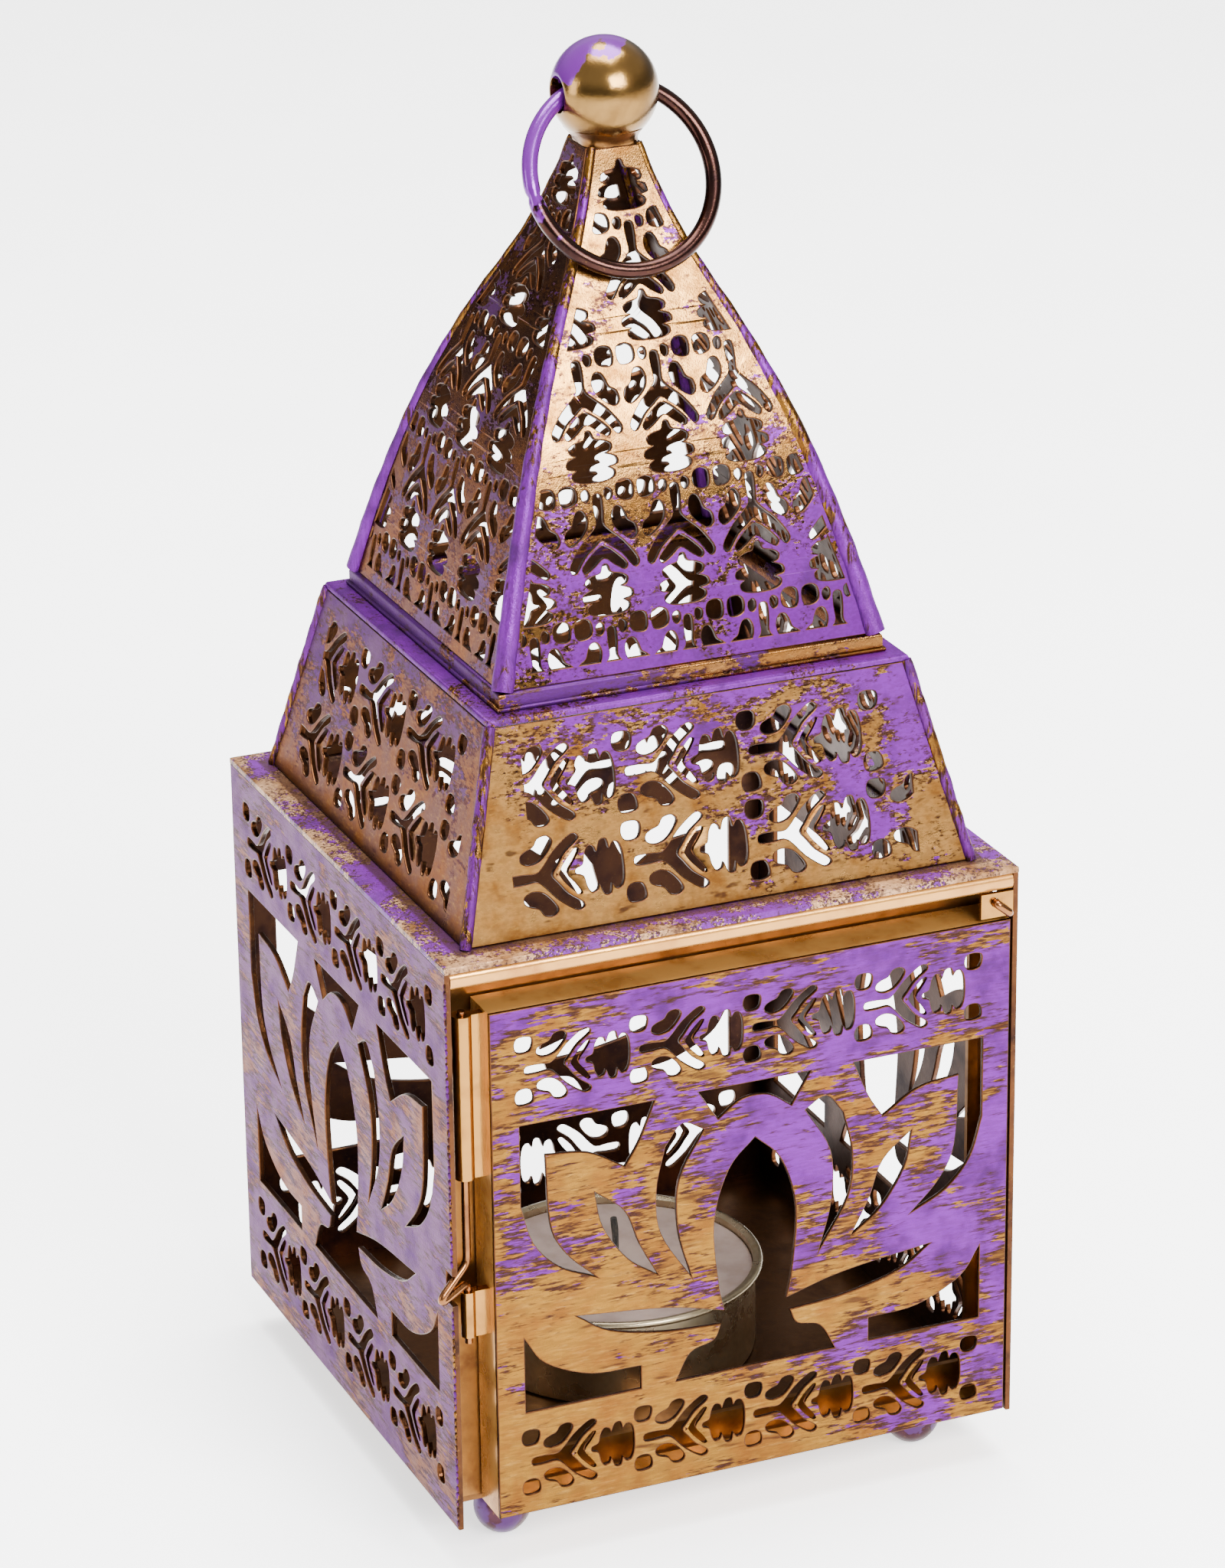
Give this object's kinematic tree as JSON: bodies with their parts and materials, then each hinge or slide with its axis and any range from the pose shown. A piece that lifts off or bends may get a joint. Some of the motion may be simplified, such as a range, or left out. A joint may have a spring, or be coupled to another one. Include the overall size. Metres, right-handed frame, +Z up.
{
  "type": "moroccan tealight lantern",
  "caption": "Square pierced metal lantern with a hinged lotus door, sloping skirt, four-sided onion dome, ball finial, hanging ring and a tealight inside.",
  "frame": {"origin": "on the surface that the feet stand on, under the middle of the square body", "axes": "+Z up, the door faces -Y, +X to the right seen from the door side"},
  "size_m": [0.0818, 0.0813, 0.1914],
  "materials": {
    "patina_brass": "brushed antique brass with a mottled violet patina",
    "violet_patina": "satin violet patina, worn to brass on the high edges",
    "polished_brass": "polished brass with light wear",
    "dark_bronze": "darkened bronze wire",
    "gilt_cup": "thin pressed metal, satin",
    "wick_steel": "thin stamped disc",
    "wax": "smooth candle wax",
    "wick": "charred cotton"
  },
  "bodies": {
    "lantern": {"left_panel": "patina_brass", "right_panel": "patina_brass", "back_panel": "patina_brass", "front_frame": "patina_brass", "floor_plate": "patina_brass", "top_plate": "patina_brass", "skirt_shoulder": "patina_brass", "skirt_panel_front": "patina_brass", "skirt_panel_right": "patina_brass", "skirt_panel_back": "patina_brass", "skirt_panel_left": "patina_brass", "dome_panel_front": "patina_brass", "dome_panel_right": "patina_brass", "dome_panel_back": "patina_brass", "dome_panel_left": "patina_brass", "skirt_bead_front_left": "violet_patina", "skirt_bead_front_right": "violet_patina", "skirt_bead_back_right": "violet_patina", "skirt_bead_back_left": "violet_patina", "dome_ridge_front_left": "violet_patina", "dome_ridge_front_right": "violet_patina", "dome_ridge_back_right": "violet_patina", "dome_ridge_back_left": "violet_patina", "front_rail": "polished_brass", "catch_plate": "polished_brass", "dome_base_rim": "polished_brass", "neck_collar": "polished_brass", "finial_ball": "polished_brass", "hinge_wire": "dark_bronze", "door_catch": "dark_bronze", "foot_front_left": "dark_bronze", "foot_front_right": "dark_bronze", "foot_back_left": "dark_bronze", "foot_back_right": "dark_bronze"},
    "door": {"door_panel": "patina_brass", "door_edge": "polished_brass", "upper_knuckle": "polished_brass", "lower_knuckle": "polished_brass"},
    "ring": {"hanging_ring": "dark_bronze"},
    "tealight": {"candle_cup": "gilt_cup", "candle_wax": "wax", "candle_wick": "wick", "wick_sustainer": "wick_steel"}
  },
  "joints": [
    {"name": "door_hinge", "type": "hinge", "parent": "lantern", "child": "door", "pos_m": [-0.037, -0.0376, 0.05], "axis": [0, 0, -1], "range_deg": [0, 95]},
    {"name": "ring_swing", "type": "hinge", "parent": "lantern", "child": "ring", "pos_m": [0, 0, 0.1845], "axis": [-1, 0, 0], "range_deg": [0, 301]},
    {"name": "tealight_lift", "type": "slide", "parent": "lantern", "child": "tealight", "axis": [0, 0, 1], "range_m": [0, 0.03]}
  ]
}
